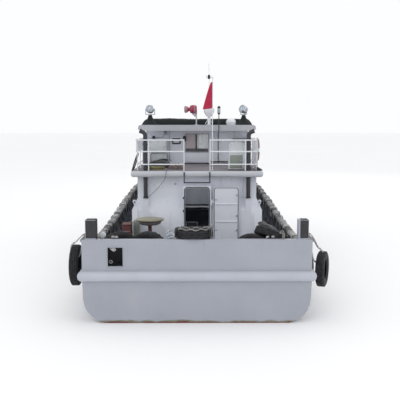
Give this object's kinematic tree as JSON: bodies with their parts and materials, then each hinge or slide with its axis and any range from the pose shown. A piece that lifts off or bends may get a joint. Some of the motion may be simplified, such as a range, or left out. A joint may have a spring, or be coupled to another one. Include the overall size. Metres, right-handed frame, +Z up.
{
  "type": "traffic boat",
  "caption": "Steel harbour workboat afloat: square stern, bulwarks hung with tyres, deckhouse, low wheelhouse, railing, searchlights and flag.",
  "frame": {"origin": "amidships on the centre line, at the water's surface, which is the waterplane mount", "axes": "+X to starboard, +Y forward to the bow, +Z up"},
  "size_m": [6.3452, 20.07, 7.6504],
  "materials": {
    "hull_paint": "off-white gloss paint over steel, scuffed and streaked with rust",
    "white_paint": "off-white paint over steel",
    "deck_paint": "worn brown-grey deck paint",
    "black_paint": "matt charcoal paint",
    "bottom_paint": "dull red bottom paint",
    "engine_paint": "blue-grey engine paint",
    "horn_paint": "faded red paint",
    "grey_lining": "grey panel",
    "bare_steel": "weathered bare steel",
    "bronze": "cast bronze",
    "tyre": "worn black rubber",
    "cover_cloth": "green-black tarpaulin",
    "flag_cloth": "plain red cloth",
    "seat_cloth": "dark seat cloth"
  },
  "bodies": {
    "boat": {"hull": "hull_paint", "bulwark_port": "hull_paint", "bulwark_starboard": "hull_paint", "bulwark_transom": "hull_paint", "rubbing_strake": "hull_paint", "tyre_row_port": "tyre", "tyre_row_starboard": "tyre", "quarter_tyre_port": "tyre", "quarter_tyre_starboard": "tyre", "deck_tyres_port": "tyre", "deck_tyres_centre": "tyre", "deck_tyres_starboard": "tyre", "deckhouse_aft_wall": "white_paint", "deckhouse_port_wall": "white_paint", "deckhouse_starboard_wall": "white_paint", "deckhouse_front_wall": "white_paint", "upper_deck": "deck_paint", "cabin_bulkhead": "grey_lining", "cabin_floor": "deck_paint", "cabin_benches": "seat_cloth", "engines": "engine_paint", "railing_port": "white_paint", "railing_starboard": "white_paint", "ladder_hanger": "black_paint", "exhaust_port": "black_paint", "exhaust_starboard": "black_paint", "wheelhouse_aft_wall": "white_paint", "wheelhouse_port_wall": "white_paint", "wheelhouse_starboard_wall": "white_paint", "wheelhouse_front_wall": "white_paint", "wheelhouse_floor": "deck_paint", "wheelhouse_roof": "white_paint", "roof_cover": "cover_cloth", "mast": "white_paint", "loudhailer": "horn_paint", "flagstaff": "white_paint", "flag": "flag_cloth", "lamp_pole": "black_paint", "aerial_dome": "white_paint", "wall_cabinet": "white_paint", "aircon_unit": "grey_lining", "deck_locker": "grey_lining", "pedestal_basin": "bare_steel", "bow_bitts": "black_paint", "console": "grey_lining", "helm_seat": "seat_cloth"},
    "port_screw": {"propeller_port": "bronze"},
    "starboard_screw": {"propeller_starboard": "bronze"},
    "port_rudder": {"rudder_port": "bottom_paint"},
    "starboard_rudder": {"rudder_starboard": "bottom_paint"},
    "helm": {"helm_wheel": "black_paint"},
    "aft_door_leaf": {"aft_door": "white_paint"},
    "front_door_leaf": {"front_door": "white_paint"},
    "forepeak_hatch": {"forepeak_lid": "deck_paint"},
    "port_searchlight": {"searchlight_port": "bare_steel"},
    "starboard_searchlight": {"searchlight_starboard": "bare_steel"},
    "capstan_drum": {"capstan": "bare_steel"}
  },
  "joints": [
    {"name": "port_screw_turn", "type": "hinge", "parent": "boat", "child": "port_screw", "pos_m": [-1.15, -8.3, -0.66], "axis": [0, 1, 0], "continuous": true},
    {"name": "starboard_screw_turn", "type": "hinge", "parent": "boat", "child": "starboard_screw", "pos_m": [1.15, -8.3, -0.66], "axis": [0, 1, 0], "continuous": true},
    {"name": "port_rudder_turn", "type": "hinge", "parent": "boat", "child": "port_rudder", "pos_m": [-1.15, -8.95, -0.6], "axis": [0, 0, 1], "range_deg": [-35, 35]},
    {"name": "starboard_rudder_turn", "type": "hinge", "parent": "boat", "child": "starboard_rudder", "pos_m": [1.15, -8.95, -0.6], "axis": [0, 0, 1], "range_deg": [-35, 35]},
    {"name": "helm_turn", "type": "hinge", "parent": "boat", "child": "helm", "pos_m": [0, -1.05, 3.25], "axis": [0, 1, 0], "range_deg": [-350, 350]},
    {"name": "aft_door_swing", "type": "hinge", "parent": "boat", "child": "aft_door_leaf", "pos_m": [0.412, -6.675, 2.08], "axis": [0, 0, -1], "range_deg": [0, 180]},
    {"name": "front_door_swing", "type": "hinge", "parent": "boat", "child": "front_door_leaf", "pos_m": [0.412, 2.495, 2.08], "axis": [0, 0, -1], "range_deg": [0, 170]},
    {"name": "forepeak_lid_lift", "type": "hinge", "parent": "boat", "child": "forepeak_hatch", "pos_m": [0, 4.925, 1.45], "axis": [-1, 0, 0], "range_deg": [0, 100]},
    {"name": "port_searchlight_pan", "type": "hinge", "parent": "boat", "child": "port_searchlight", "pos_m": [-1.52, -3.58, 5.1], "axis": [0, 0, 1], "range_deg": [-170, 170]},
    {"name": "starboard_searchlight_pan", "type": "hinge", "parent": "boat", "child": "starboard_searchlight", "pos_m": [1.52, -3.58, 5.1], "axis": [0, 0, 1], "range_deg": [-170, 170]},
    {"name": "capstan_turn", "type": "hinge", "parent": "boat", "child": "capstan_drum", "pos_m": [0, 6.2, 1.5], "axis": [0, 0, 1], "continuous": true}
  ],
  "couplings": [
    {"joint": "starboard_rudder_turn", "follows": "port_rudder_turn", "ratio": 1},
    {"joint": "helm_turn", "follows": "port_rudder_turn", "ratio": 10}
  ]
}
